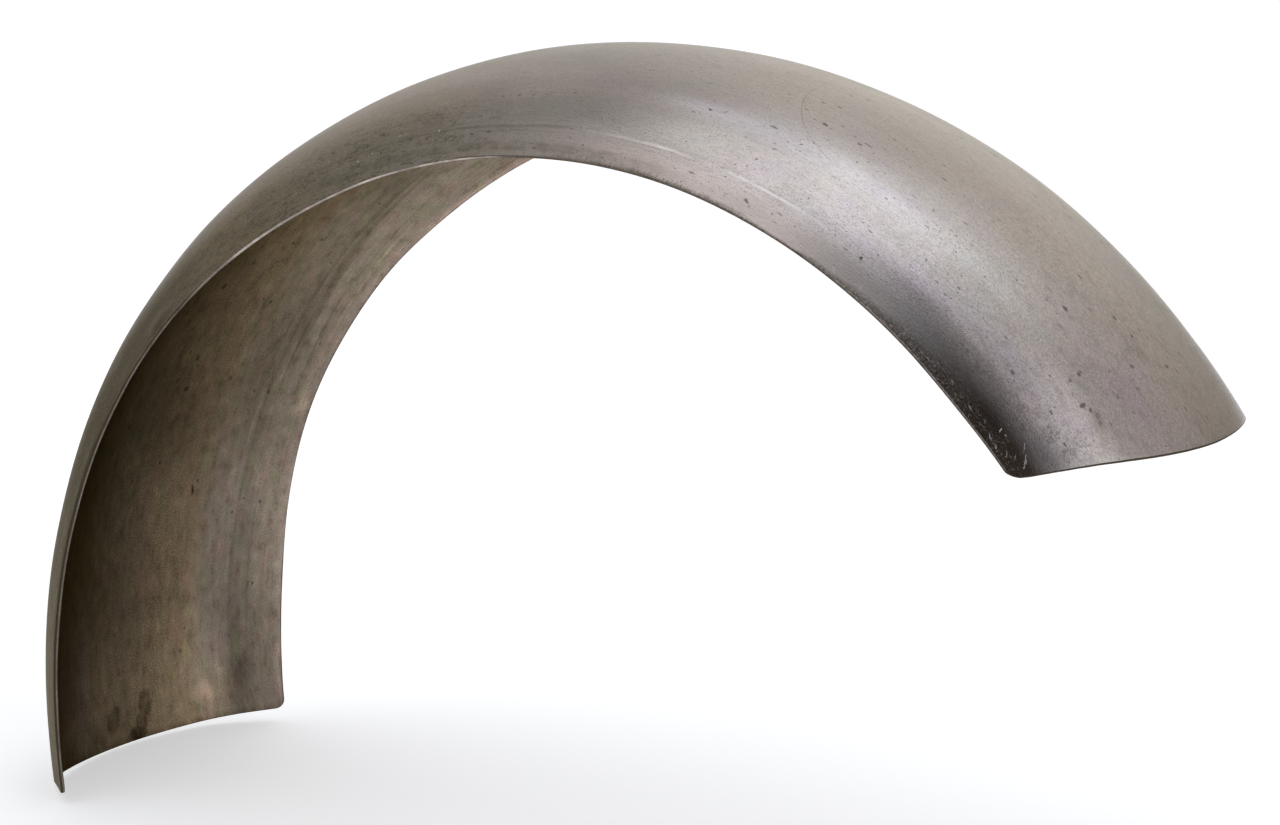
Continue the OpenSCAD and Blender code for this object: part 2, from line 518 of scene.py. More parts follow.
# marks on the outer face: angle, across mm, half length mm, half width mm, turn, strength
DARK_MARKS = [
    (78.3, -60.9, 1.4, 0.9, 0, 0.9), (77.3, -59.8, 2.6, 0.35, 0, 0.5), (73.0, -56.0, 3.4, 0.7, 3, 0.8),
    (70.4, -37.5, 2.4, 1.2, 5, 0.95), (69.4, -32.2, 1.2, 0.8, 0, 0.6), (67.1, -38.6, 2.0, 1.0, 20, 0.8),
    (66.6, -36.0, 3.2, 0.8, 0, 0.7), (65.6, -32.0, 3.0, 0.7, 0, 0.4), (59.5, -90.5, 1.1, 1.3, 0, 1.0),
    (72.0, -76.8, 0.9, 0.8, 0, 0.7), (61.0, -91.5, 1.6, 0.9, 0, 0.5), (58.7, -47.8, 1.0, 0.9, 0, 0.6),
    (46.7, -33.9, 2.4, 1.3, 0, 0.95), (47.9, -39.0, 1.8, 0.8, 0, 0.6), (48.6, -33.0, 4.0, 0.5, 0, 0.45),
    (41.8, -52.4, 1.5, 1.5, 40, 0.95), (41.9, -50.8, 1.3, 0.7, -60, 0.9), (41.7, -58.4, 1.4, 1.2, 30, 0.85),
    (39.6, -60.4, 1.6, 2.4, 0, 0.95), (39.0, -58.4, 1.8, 1.0, 20, 0.9), (44.5, -78.4, 1.9, 1.2, 0, 0.9),
    (42.7, -8.2, 1.6, 1.3, 0, 0.8), (44.5, -10.6, 1.8, 1.3, 0, 0.8), (39.6, 1.2, 1.5, 1.3, 0, 0.85),
    (40.6, -21.8, 1.5, 1.7, 50, 0.7), (38.9, -27.2, 1.4, 1.7, 30, 0.6), (51.9, -57.3, 0.9, 0.8, 0, 0.6),
    (38.4, -56.8, 2.2, 1.8, 0, 0.6), (37.8, -58.0, 2.0, 1.4, 30, 0.55), (41.0, -36.0, 1.2, 1.0, 0, 0.6),
    (55.7, -72.0, 1.0, 0.7, 0, 0.6), (52.6, -78.0, 1.0, 0.8, 0, 0.6), (47.0, -60.0, 0.9, 0.8, 0, 0.7),
    (96.9, -71.3, 1.0, 0.6, 0, 0.6), (95.4, -70.9, 1.3, 0.6, 0, 0.75), (94.0, -70.6, 1.6, 0.5, 0, 0.7),
    (92.8, -70.0, 1.1, 0.5, 0, 0.7), (91.2, -68.6, 0.9, 0.5, 0, 0.6), (90.2, -68.1, 1.0, 0.6, 0, 0.8),
    (102.3, -76.2, 1.6, 0.6, 0, 0.6), (101.3, -76.0, 1.5, 0.5, 5, 0.6), (100.4, -75.6, 1.2, 0.5, 0, 0.5),
    (98.6, -92.5, 1.5, 0.8, 0, 0.7), (96.9, -91.8, 2.2, 0.7, 0, 0.8), (87.0, -96.0, 1.2, 0.8, 0, 0.6),
    (76.2, -95.2, 3.0, 0.6, 3, 0.5), (70.5, -96.8, 2.4, 0.9, 25, 0.7), (67.4, -94.6, 2.2, 0.7, 0, 0.5),
]
# small bright nicks where the skin is scraped through, their brightness partly painted glints
NICK_AND_GLINT_MARKS = [
    (41.3, -97.4, 1.6, 0.32, 60, 1.0), (40.7, -97.0, 0.9, 0.35, 0, 0.8), (39.1, -93.3, 2.8, 0.26, 35, 0.6),
    (38.2, -95.6, 3.8, 0.28, 30, 0.8), (41.3, -102.8, 2.4, 0.28, 20, 0.8), (40.4, -103.2, 1.8, 0.3, 15, 0.7),
    (39.4, -101.0, 2.0, 0.26, 40, 0.6), (37.9, -97.4, 3.0, 0.24, 33, 0.6), (38.8, -98.9, 2.2, 0.24, 42, 0.5),
    (42.6, -100.8, 1.8, 0.26, 12, 0.6), (44.2, -102.4, 2.6, 0.26, 8, 0.5),
    (46.8, -101.2, 2.0, 0.26, 20, 0.5), (49.5, -102.6, 2.2, 0.26, 10, 0.5),
    (102.2, -88.4, 0.6, 0.5, 0, 0.9), (109.4, -92.0, 0.6, 0.5, 0, 0.9),
    (111.0, -93.6, 0.6, 0.5, 0, 0.8), (95.0, -91.0, 0.6, 0.4, 0, 0.7), (114.6, -86.0, 0.6, 0.5, 0, 0.7),
    (60.6, -101.6, 2.2, 0.3, 30, 0.5), (57.8, -100.6, 1.8, 0.3, 40, 0.5), (106.5, -86.5, 0.5, 0.4, 0, 0.7),
]
# clusters of fine specks by the upper end
PEPPERED = [
    (38.9, -80.3, 5.5, 6.0, 0, 0.85), (36.9, -78.6, 4.5, 5.0, 0, 0.75), (37.6, -70.0, 5.5, 6.0, 0, 0.6),
    (38.2, -57.0, 6.5, 3.6, 20, 0.8), (40.6, -60.5, 4.0, 4.0, 0, 0.7), (41.5, -47.0, 9.0, 4.0, 10, 0.6),
    (39.5, -40.0, 9.0, 5.0, -10, 0.6), (44.5, -30.0, 12.0, 6.0, 10, 0.55), (42.0, -12.0, 12.0, 8.0, 0, 0.6),
    (48.0, -20.0, 14.0, 6.0, 15, 0.5), (37.0, -92.0, 6.0, 5.0, 0, 0.7), (52.0, -45.0, 16.0, 6.0, 5, 0.4),
]
# the hairline is part of a circle: its middle (angle, across mm) and its radius in mm
SCRATCH_MIDDLE, SCRATCH_R = (64.7, -2.0), 59.0
# darker smudges of oil and scale, wide and soft
SMUDGES = [
    (117.0, -97.0, 26, 6, 0, 0.75), (109.0, -101.0, 22, 4, 0, 0.6), (122.0, -88.0, 26, 9, 0, 0.6),
    (104.0, -84.0, 30, 6, 3, 0.5), (99.0, -70.0, 40, 12, 0, 0.25), (38.0, -58.0, 14, 5, 20, 0.35),
    (131.5, -101.5, 18, 5, 0, 0.9), (43.0, -18.0, 30, 9, -30, 0.3), (40.5, -30.0, 16, 8, 30, 0.35),
    (66.0, -44.0, 30, 6, 0, 0.25),
]


# noises of the outer face: fineness along and across, seed, detail, roughness
OUTER_NOISE = {
    "broad": (11, 22, 0.0, 3, 0.55), "cloud": (34, 60, 3.1, 4, 0.62), "tint": (28, 44, 14.0, 2, 0.5),
    "streak": (26, 520, 6.2, 3, 0.6), "grain": (220, 1900, 7.7, 3, 0.7), "speck": (900, 1500, 2.2, 2, 0.6),
    "mottle": (120, 230, 8.8, 4, 0.7), "crumb": (620, 1000, 5.5, 3, 0.7), "dust": (1300, 2100, 12.5, 2, 0.6),
}
# wide tone zones of the outer face, fitted to the photo: by "v" on one side, or by "side" on both alike;
# limits across in mm, limits along in degrees (as for fade), and the colour that multiplies the steel's
# these zones are partly painted highlight and painted shade, partly the steel's own tone
OUTER_TONE_AND_LIGHT_ZONES = [
    ("v", (-30, 30), (45, 60, 104, 120), (1.11, 1.10, 1.09)),
    ("v", (-92, -78, -55, -25), (64, 74, 86, 96), (0.89, 0.87, 0.86)),
    ("side", (72, 82, 89, 96), (36, 42, 60, 70), (1.22, 1.18, 1.20)),
    ("side", (78, 83, 87, 92), (38, 42, 48, 53), (1.40, 1.38, 1.34)),
    ("side", (80, 86, 92, 98), (52, 60, 68, 78), (1.22, 1.22, 1.23)),
    ("side", (96, 100), (54, 62, 84, 92), (0.87, 0.88, 0.88)),
    ("v", (-64, -46, 0, 30), (88, 104, 128, 146), (1.13, 1.13, 1.13)),
    ("side", (70, 84), (118, 130, 148, 160), (1.12, 1.03, 0.83)),
]
# ring-like stains by the upper end: the oval as in the other marks, then the ring's radius and width
RINGS = [
    ((38.9, -80.5, 4.3, 5.0, 0, 0.55), 0.80, 0.20), ((38.6, -79.6, 4.4, 4.6, 0, 0.45), 0.45, 0.18),
    ((36.9, -78.8, 3.4, 4.0, 0, 0.36), 0.70, 0.28), ((37.4, -68.6, 4.6, 5.2, 0, 0.34), 0.85, 0.20),
]


def face_fields(n, noises, wobble):
    """What a face's layers go by; a layer adds what a later one needs."""
    u, v, _ = place_of(n)
    from_rim, _, from_low = edges_of(n)
    f = SimpleNamespace(u=u, v=v, from_rim=from_rim, from_low=from_low)
    f.place = wobbled(n, u, v, *wobble)
    for name, row in noises.items():
        setattr(f, name, field(n, u, v, *row))
    return f


def outer_base(n, f):
    """Bare metal with its warm, violet and greenish casts, darker and browner toward the low end, painted
    shade on the low leg's flanks over darker skin on its crown, and wide zones of tone, painted highlight
    and painted shade.
    """
    colour = n.mix(n.ramp(f.broad, 0.35, 0.65), (0.475, 0.425, 0.385), (0.455, 0.405, 0.38))
    colour = toned(n, colour, [(f.tint, 0.52, 0.72, 0.55, (0.46, 0.395, 0.415)),
                               (f.tint, 0.46, 0.30, 0.45, (0.425, 0.42, 0.385))])
    # darker and browner toward the low end
    f.old = along_arc(n, f.u, 82, 125)
    colour = n.mix(n.mul(f.old, n.ramp(f.broad, 0.3, 0.7, 0.85, 1.0)), colour, (0.325, 0.262, 0.168))
    # painted shade on the low leg's flanks; the crown, darkened about half as far, is darker skin
    f.worn = n.mul(along_arc(n, f.u, 128, 156), n.ramp(f.side, 0.034, 0.078, 0.55, 1.0))
    colour = n.mix(f.worn, colour, (0.062, 0.051, 0.032))
    # wide zones: tone, painted highlight and painted shade
    colour = tone_zones(n, colour, f.u, {"v": f.v, "side": f.side}, OUTER_TONE_AND_LIGHT_ZONES)
    return toned(n, colour, [(f.cloud, 0.48, 0.78, 0.3, (0.36, 0.325, 0.29))])


def outer_skin(n, f, colour):
    """Dark patches where the mill skin is left, on the low half by the rims."""
    smudge = n.mul(marks(n, f.place, SMUDGES, 0.9), n.ramp(f.cloud, 0.40, 0.62))
    skin = n.mul(n.ramp(f.side, 0.062, 0.088), along_arc(n, f.u, 90, 106, 130, 150))
    drawn = field(n, f.u, f.v, 95, 560, 15.5, 3, 0.6)
    skin = n.mul(n.mul(skin, n.ramp(f.mottle, 0.40, 0.58, 0.12, 1.0)), n.ramp(f.crumb, 0.44, 0.58, 0.2, 1.0))
    skin = n.mul(skin, n.ramp(drawn, 0.42, 0.60, 0.25, 1.25))
    smudge = n.most(n.mul(smudge, 0.7), n.mul(skin, 0.9), clamp=True)
    return n.mix(smudge, colour, (0.150, 0.118, 0.064))


def outer_fine_work(n, f, colour):
    """Streaks, grain, specks, dust and blotches."""
    colour = toned(n, colour, [
        (f.streak, 0.50, 0.75, 0.22, (0.33, 0.295, 0.265)), (f.streak, 0.48, 0.25, 0.16, (0.58, 0.53, 0.50)),
        (f.grain, 0.50, 0.75, 0.55, (0.27, 0.245, 0.22)), (f.grain, 0.45, 0.25, 0.40, (0.60, 0.55, 0.51)),
        (f.speck, 0.50, 0.75, 0.75, (0.23, 0.205, 0.185))])
    dusty = n.add(n.ramp(f.u, at(62), at(54), 0.15, 0.7), n.ramp(f.u, at(90), at(126), 0.0, 0.8))
    colour = n.mix(n.mul(dusty, n.ramp(f.dust, 0.50, 0.68)), colour, (0.66, 0.64, 0.62), "MULTIPLY")
    colour = n.mix(n.mul(dusty, n.ramp(f.dust, 0.46, 0.30)), colour, (1.36, 1.36, 1.34), "MULTIPLY")
    blotch = n.mul(n.ramp(f.mottle, 0.5, 0.66), n.ramp(f.u, at(56), at(44), 0.25, 0.8))
    return n.mix(n.mul(blotch, 0.6), colour, (0.29, 0.255, 0.24))


def outer_rims(n, f, colour):
    """The dark, scraped band by the rims, wide at the upper end and gone by the top, and their edges. The
    band is partly painted dark reflection, and the dark band inside it by the upper end is painted dark
    reflection.
    """
    wide = n.ramp(f.u, at(44), at(62), 0.0125, 0.0024)
    wide = n.add(wide, n.ramp(f.cloud, 0.3, 0.7, -0.0014, 0.0014))
    f.rim = n.mul(n.ramp(n.math("DIVIDE", f.from_rim, wide), 1.0, 0.15), along_arc(n, f.u, 98, 78))
    f.dull = field(n, f.u, f.v, 900, 1800, 4.4, 3, 0.75)
    warm = n.mul(n.ramp(f.from_rim, 0.018, 0.006), along_arc(n, f.u, 50, 60, 86, 100))
    colour = n.mix(n.mul(warm, 0.5), colour, (0.50, 0.41, 0.37))
    # painted dark reflection: a dark band 8 to 18 mm in from the rim by the upper end
    painted_dark_reflection = n.mul(n.ramp(f.from_rim, 0.0180, 0.0080), along_arc(n, f.u, 52, 42))
    colour = n.mix(n.mul(painted_dark_reflection, 0.9), colour, (0.088, 0.059, 0.038))
    # the scraped band: rough flaked steel, its darkness partly painted dark reflection
    colour = n.mix(n.mul(f.rim, n.ramp(f.dull, 0.40, 0.56, 0.25, 0.9)), colour, (0.095, 0.078, 0.056))
    f.flake = n.mul(f.rim, n.ramp(f.dull, 0.44, 0.33))
    colour = n.mix(n.mul(f.flake, 0.85), colour, (0.46, 0.37, 0.295))
    # the low leg is dark beside its edge, and the upper half has a pale lip
    shade = n.mul(n.ramp(f.from_rim, 0.0060, 0.0008), along_arc(n, f.u, 146, 158, 182, 188))
    colour = n.mix(n.mul(shade, 0.9), colour, (0.018, 0.014, 0.008))
    f.lip = n.mul(n.ramp(f.from_rim, 0.0011, 0.0006), along_arc(n, f.u, 64, 54))
    colour = n.mix(n.mul(f.lip, n.ramp(f.crumb, 0.35, 0.6, 0.9, 0.4)), colour, (0.55, 0.44, 0.38))
    # grinding marks across the rim by the top
    hatch = field(n, f.u, f.v, 1500, 260, 3.3, 2, 0.5)
    ground = n.mul(along_arc(n, f.u, 72, 78, 88, 93), n.ramp(f.side, 0.1005, 0.1025))
    return n.mix(n.mul(ground, n.ramp(hatch, 0.45, 0.60, 0.0, 0.55)), colour, (0.17, 0.14, 0.11))


def outer_lines(n, f, colour):
    """Lines along each crease, with a painted highlight on the upper half and painted shade lower down, and
    a fainter dark band near the rim.
    """
    broken = n.ramp(f.streak, 0.35, 0.62, 0.15, 1.0)
    line = n.mul(window(n, f.side, 0.0866, 0.0884, 0.0888, 0.0902), broken)
    second = n.mul(window(n, f.side, 0.0905, 0.0912, 0.0914, 0.0922), n.mul(broken, 0.5))
    f.line = n.mul(n.most(line, second), along_arc(n, f.u, 72, 84, 104, 122))
    low = n.mul(window(n, f.side, 0.0955, 0.0985, 0.1005, 0.1030), n.ramp(f.mottle, 0.35, 0.6, 0.3, 1.0))
    low = n.mul(low, along_arc(n, f.u, 74, 84, 110, 124))
    # painted shade along the crease from the middle of the arc down
    crease_shade = n.mul(f.line, along_arc(n, f.u, 84, 92))
    colour = n.mix(n.mul(n.most(crease_shade, low), 0.5), colour, (0.19, 0.165, 0.12))
    # painted highlight along the crease on the upper half
    crease_highlight = window(n, f.side, 0.0874, 0.0883, 0.0887, 0.0896)
    crease_highlight = n.mul(crease_highlight, along_arc(n, f.u, 58, 68, 84, 90))
    crease_highlight = n.mul(crease_highlight, n.ramp(f.streak, 0.40, 0.62, 0.1, 1.0))
    return n.mix(n.mul(crease_highlight, 0.6), colour, (0.78, 0.74, 0.71))


def outer_pits(n, f, colour):
    """Fine specks all over, short dashes along the arc, marks that stand out, stains and clusters."""
    crowd = n.ramp(f.u, at(104), at(76), 0.4, 1.0)
    polished = n.mul(n.ramp(f.side, 0.055, 0.070), along_arc(n, f.u, 54, 62, 82, 90))
    crowd = n.mul(crowd, n.ramp(polished, 0.0, 1.0, 1.0, 0.62))
    fine, chance = pits(n, f.u, f.v, 310, 430, 0.10, 0.20, 0.0)
    fine = n.mul(n.mul(fine, crowd), n.ramp(chance, 0.25, 0.70))
    tiny, chance = pits(n, f.u, f.v, 540, 760, 0.10, 0.24, 11.0)
    tiny = n.mul(n.mul(tiny, crowd), n.ramp(chance, 0.20, 0.60, 0.0, 0.6))
    fine = n.most(fine, tiny)
    dash, chance = pits(n, f.u, f.v, 125, 400, 0.05, 0.23, 5.0)
    dash = n.mul(n.mul(dash, crowd), n.ramp(chance, 0.35, 0.65))
    spots = marks(n, f.place, DARK_MARKS, 0.6)
    pit = n.most(n.most(n.mul(fine, 0.85), n.mul(dash, 0.75)), n.mul(spots, 0.9))
    dots = n.ramp(field(n, f.u, f.v, 620, 620, 9.0, 3, 0.7), 0.44, 0.58)
    stain = ring(n, f.place, *RINGS[0])
    for row in RINGS[1:]:
        stain = n.most(stain, ring(n, f.place, *row))
    pit = n.most(pit, n.mul(stain, dots))
    peppered = n.ramp(field(n, f.u, f.v, 900, 1300, 19.0, 3, 0.75), 0.51, 0.62)
    f.pit = n.most(pit, n.mul(marks(n, f.place, PEPPERED, 0.8), peppered))
    f.holes = n.most(n.mul(fine, 0.6), n.mul(dash, 0.6))
    return n.mix(n.mul(f.pit, 0.9), colour, (0.065, 0.057, 0.052))


def outer_scrapes(n, f, colour):
    """Bright nicks, their brightness partly painted glints, and one long curved hairline."""
    # bright nicks: scraped metal, with painted glints
    f.bright = marks(n, f.place, NICK_AND_GLINT_MARKS, 0.6)
    colour = n.mix(f.bright, colour, (0.86, 0.84, 0.78))
    hair = ring(n, n.vector(f.u, f.v), (*SCRATCH_MIDDLE, SCRATCH_R, SCRATCH_R, 0, 0.4), 1.0, 0.0075)
    hair = n.mul(hair, n.mul(along_arc(n, f.u, 65.5, 67.5), n.ramp(f.v, -0.002, -0.012)))
    hair = n.mul(n.mul(hair, n.ramp(f.v, -0.062, -0.058)), n.ramp(f.mottle, 0.35, 0.55, 0.3, 1.0))
    return n.mix(hair, colour, (0.16, 0.13, 0.12))


def outside_steel():
    """Satin bare steel: fine scratches along the arc, pits, tints, darker and browner toward the low end,
    with painted shade and painted highlights in places.
    """
    mat, n = new_material("steel_outside")
    f = face_fields(n, OUTER_NOISE, (0.0016, 1000))
    f.side = n.math("ABSOLUTE", f.v)
    colour = outer_base(n, f)
    for layer in (outer_skin, outer_fine_work, outer_rims, outer_lines, outer_pits, outer_scrapes):
        colour = layer(n, f, colour)
    rough = n.add(n.ramp(f.cloud, 0.3, 0.7, 0.235, 0.275), n.mul(f.pit, 0.3))
    rough = n.add(rough, n.add(n.mul(f.old, 0.06), n.mul(f.worn, 0.12)))
    rough = n.add(rough, n.add(n.ramp(f.grain, 0.4, 0.8, 0, 0.06), n.mul(f.flake, 0.2)))
    height = n.add(n.mul(f.grain, 0.35), n.add(n.mul(f.speck, 0.4), n.mul(n.mul(f.rim, f.dull), 0.8)))
    height = n.math("SUBTRACT", height, n.add(n.mul(f.holes, 1.2), n.mul(f.line, 0.5)))
    matt = n.most(n.most(n.mul(f.bright, 0.8), n.mul(f.flake, 0.45)), n.mul(f.lip, 0.5))
    metal = n.math("SUBTRACT", 1.0, matt)
    edge_sheen = n.mix(f.worn, (1.0, 1.0, 1.0), (0.68, 0.63, 0.53))
    finish_surface(n, colour, rough, n.bump(height, OUTER_BUMP), metal, edge_sheen)
    return mat


# marks on the inner face
STAINS = [
    (185.4, 22.0, 9.5, 6.0, -10, 0.72), (188.0, 15.0, 6.0, 8.0, 0, 0.95), (187.0, 18.5, 6.5, 5.6, 0, 0.72),
    (186.2, -3.0, 8.0, 6.0, -10, 0.5), (185.4, 0.5, 4.0, 4.0, 0, 0.5),
]
INNER_SPOTS = [
    (144.2, 18.9, 3.0, 2.0, 0, 0.9), (146.7, 0.0, 2.4, 1.6, 0, 0.7), (152.3, 26.0, 2.6, 1.8, 0, 0.7),
    (155.5, 26.5, 2.2, 1.8, 0, 0.8), (154.6, 53.9, 2.2, 1.6, 0, 0.6), (155.5, 78.6, 2.0, 1.4, 0, 0.6),
    (166.0, 49.2, 4.2, 1.3, 12, 0.9), (165.2, 51.4, 1.6, 1.4, 0, 0.7), (141.5, 30.0, 2.2, 1.6, 0, 0.6),
    (148.8, 12.0, 2.0, 1.4, 0, 0.6), (160.0, -6.0, 2.0, 1.2, 0, 0.6), (176.0, 30.0, 1.8, 1.4, 0, 0.5),
    (172.0, -22.0, 1.8, 1.6, 0, 0.5), (181.5, 48.0, 1.6, 1.6, 0, 0.6), (138.0, 62.0, 2.0, 1.6, 0, 0.5),
]
# paler and darker places of the inner face, partly painted highlight and painted shade
INNER_PALE = [
    (176.0, 56.0, 60, 10, 0, 0.35), (165.0, 16.4, 6.5, 6.0, 0, 0.4), (155.9, 96.6, 16, 6, 0, 0.8),
    (186.0, 61.0, 9.0, 9.0, 0, 0.9), (186.0, -44.0, 24, 22, 0, 0.75), (166.0, 74.0, 30, 7, 0, 0.3),
]
INNER_DARK = [
    (158.0, 28.0, 56, 36, 0, 0.62), (184.5, 84.0, 20, 9, 0, 0.75), (153.0, 70.0, 44, 10, 0, 0.55),
    (128.0, 70.0, 40, 14, 12, 0.4), (150.0, -34.0, 50, 24, 0, 0.7),
]


# noises of the inner face, as for the outer one
INNER_NOISE = {
    "broad": (22, 44, 11, 3, 0.6), "cloud": (95, 190, 4, 4, 0.65), "long_streak": (4, 260, 9, 3, 0.6),
    "streak": (60, 380, 29, 3, 0.6), "tint": (70, 120, 41, 3, 0.6), "speck": (900, 1200, 1, 3, 0.7),
    "dust": (1400, 1900, 17, 2, 0.6),
}
# wide tone zones of the inner face, fitted to the photo; "across" is the place across with uneven limits
INNER_TONE_AND_LIGHT_ZONES = [
    # these zones are partly painted highlight and painted shade, among them a lighter bottom by the low end,
    # partly the scale's own tone
    ("v", (-55, -10, 50, 86), (174, 185), (2.05, 2.05, 2.05)),
    ("v", (12, 36), (150, 138), (1.24, 1.25, 1.25)),
    ("v", (-12, 14), (158, 168, 172, 182), (1.28, 1.27, 1.30)),
    ("across", (14, -12), (130, 146, 158, 174), (0.69, 0.75, 0.82)),
    ("v", (-75, -55, -32, -12), (172, 184), (1.16, 1.24, 1.55)),
    ("v", (56, 64, 74, 80), (178, 184), (1.17, 1.15, 1.18)),
    ("v", (88, 96), (178, 184), (1.17, 1.15, 1.18)),
    ("v", (54, 66, 76, 84), (156, 166, 180, 186), (1.02, 1.04, 1.14)),
    ("v", (78, 83, 88, 94), (164, 168, 184, 188), (0.87, 0.88, 0.90)),
]


def inner_base(n, f):
    """Dark olive scale at the near side, through brown, to pinkish metal on the far flange; the darkening
    toward the near side is painted shade.
    """
    across = n.add(f.v, n.ramp(f.broad, 0.3, 0.7, -0.008, 0.008))
    # painted shade: the colour darkens toward the near side, over the scale's own olive and brown
    colour = n.mix(n.ramp(across, -0.046, 0.004), (0.032, 0.0245, 0.0150), (0.060, 0.047, 0.031))
    colour = n.mix(n.ramp(across, 0.002, 0.054), colour, (0.130, 0.099, 0.063))
    colour = n.mix(n.ramp(across, 0.046, 0.076), colour, (0.172, 0.144, 0.105))
    colour = n.mix(n.ramp(f.v, 0.077, 0.090), colour, (0.245, 0.206, 0.158))
    colour = n.mix(n.ramp(f.from_rim, 0.0070, 0.0012), colour, (0.320, 0.260, 0.215))
    # wide zones: tone, painted highlight and painted shade
    colour = tone_zones(n, colour, f.u, {"v": f.v, "across": across}, INNER_TONE_AND_LIGHT_ZONES)
    wide_place = wobbled(n, f.u, f.v, 0.016, 60)
    # paler and darker places: partly painted highlight and painted shade
    colour = n.mix(marks(n, wide_place, INNER_PALE, 0.95), colour, (1.55, 1.50, 1.45), "MULTIPLY")
    return n.mix(marks(n, wide_place, INNER_DARK, 0.95), colour, (0.60, 0.59, 0.57), "MULTIPLY")


def inner_scale(n, f, colour):
    """Casts, mottling, streaks (long ones on the flange), specks and dust."""
    colour = toned(n, colour, [
        (f.tint, 0.50, 0.68, 0.8, (1.10, 0.96, 1.00)), (f.tint, 0.48, 0.32, 0.8, (0.92, 1.02, 0.88)),
        (f.broad, 0.52, 0.72, 0.7, (0.74, 0.72, 0.70)), (f.broad, 0.46, 0.28, 0.7, (1.22, 1.22, 1.18)),
        (f.cloud, 0.50, 0.72, 0.8, (0.70, 0.67, 0.62)), (f.cloud, 0.47, 0.28, 0.8, (1.30, 1.28, 1.22)),
        (f.streak, 0.52, 0.75, 0.5, (0.74, 0.71, 0.66)), (f.streak, 0.46, 0.25, 0.5, (1.20, 1.20, 1.16)),
        (f.speck, 0.48, 0.75, 0.9, (0.52, 0.48, 0.42)), (f.speck, 0.44, 0.28, 0.8, (1.40, 1.38, 1.32)),
    ], "MULTIPLY")
    flange = n.mul(n.ramp(f.v, 0.055, 0.085, 0.15, 1.0), n.ramp(f.u, at(138), at(162), 1.0, 0.5))
    dusty = n.ramp(f.v, 0.075, 0.030)
    for share, noise, lo, hi, tone in (
            (flange, f.long_streak, 0.52, 0.66, (0.72, 0.69, 0.65)),
            (flange, f.long_streak, 0.46, 0.34, (1.30, 1.23, 1.20)),
            (dusty, f.dust, 0.50, 0.66, (0.55, 0.54, 0.50)),
            (dusty, f.dust, 0.47, 0.32, (1.55, 1.54, 1.52))):
        colour = n.mix(n.mul(share, n.ramp(noise, lo, hi)), colour, tone, "MULTIPLY")
    return colour


def inside_steel():
    """Unworked inner face: brown scale, darker toward the near side as painted shade, streaked along the
    flanges.
    """
    mat, n = new_material("steel_inside")
    f = face_fields(n, INNER_NOISE, (0.0024, 220))
    colour = inner_scale(n, f, inner_base(n, f))
    # spots and the dark stains by the low end
    spots = marks(n, f.place, INNER_SPOTS, 0.7)
    small, chance = pits(n, f.u, f.v, 120, 210, 0.0, 0.20, 8.0)
    small = n.mul(small, n.ramp(chance, 0.55, 0.75))
    pit = n.most(n.mul(small, 0.55), n.mul(spots, 0.8))
    stain = n.mul(marks(n, f.place, STAINS, 0.4), n.ramp(f.cloud, 0.35, 0.62, 0.65, 1.0))
    colour = n.mix(n.most(pit, stain), colour, (0.20, 0.18, 0.15), "MULTIPLY")
    worn_end = n.mul(n.ramp(f.from_low, 0.0042, 0.0012), n.ramp(f.cloud, 0.35, 0.6, 0.4, 1.0))
    colour = n.mix(n.mul(worn_end, 0.6), colour, (0.60, 0.56, 0.50), "MULTIPLY")
    rough = n.add(n.ramp(f.cloud, 0.3, 0.7, 0.40, 0.52), n.mul(pit, 0.2))
    height = n.add(n.mul(f.streak, 0.2), n.add(n.mul(f.speck, 0.45), n.mul(f.cloud, 0.4)))
    height = n.math("SUBTRACT", height, pit)
    finish_surface(n, colour, rough, n.bump(height, INNER_BUMP), 1.0, (0.48, 0.42, 0.34))
    return mat


def edge_steel():
    """The cut edge: one scraped line along its middle, partly painted highlight, bright on the low half,
    dull and burred elsewhere.
    """
    mat, n = new_material("steel_edge")
    u, v, depth = place_of(n)
    patchy = field(n, u, v, 60, 60, 2, 3, 0.6)
    burr = field(n, u, v, 900, 900, 5, 2, 0.6)
    # painted highlight: the edge's middle line made bright over the low half, partly a scraped line
    bright = n.mul(along_arc(n, u, 90, 100, 122, 136), window(n, depth, 0.26, 0.42, 0.70, 0.84))
    bright = n.mul(bright, n.ramp(v, 0.02, -0.02))
    faint = n.add(n.ramp(u, at(124), at(138), 0, 0.25), n.ramp(u, at(62), at(48), 0, 0.30))
    edge_line_and_highlight = n.add(bright, n.mul(faint, window(n, depth, 0.46, 0.54, 0.62, 0.72)))
    edge_line_and_highlight = n.mul(edge_line_and_highlight, n.ramp(patchy, 0.35, 0.65, 1.0, 0.45))
    base = n.mix(along_arc(n, u, 58, 66, 88, 96), (0.060, 0.049, 0.032), (0.15, 0.122, 0.095))
    colour = n.mix(edge_line_and_highlight, base, (0.74, 0.655, 0.60))
    rough = n.ramp(burr, 0.3, 0.7, 0.32, 0.48)
    finish_surface(n, colour, rough, n.bump(burr, OUTER_BUMP), 1.0, (0.55, 0.50, 0.45))
    return mat


# ---------------------------------------------------------------- stage, lights, camera
FLOOR_Z = -0.0515
FLOOR_HALF = 60.0
FLOOR_GLOW = 0.45
WORLD_LEAST = 0.015
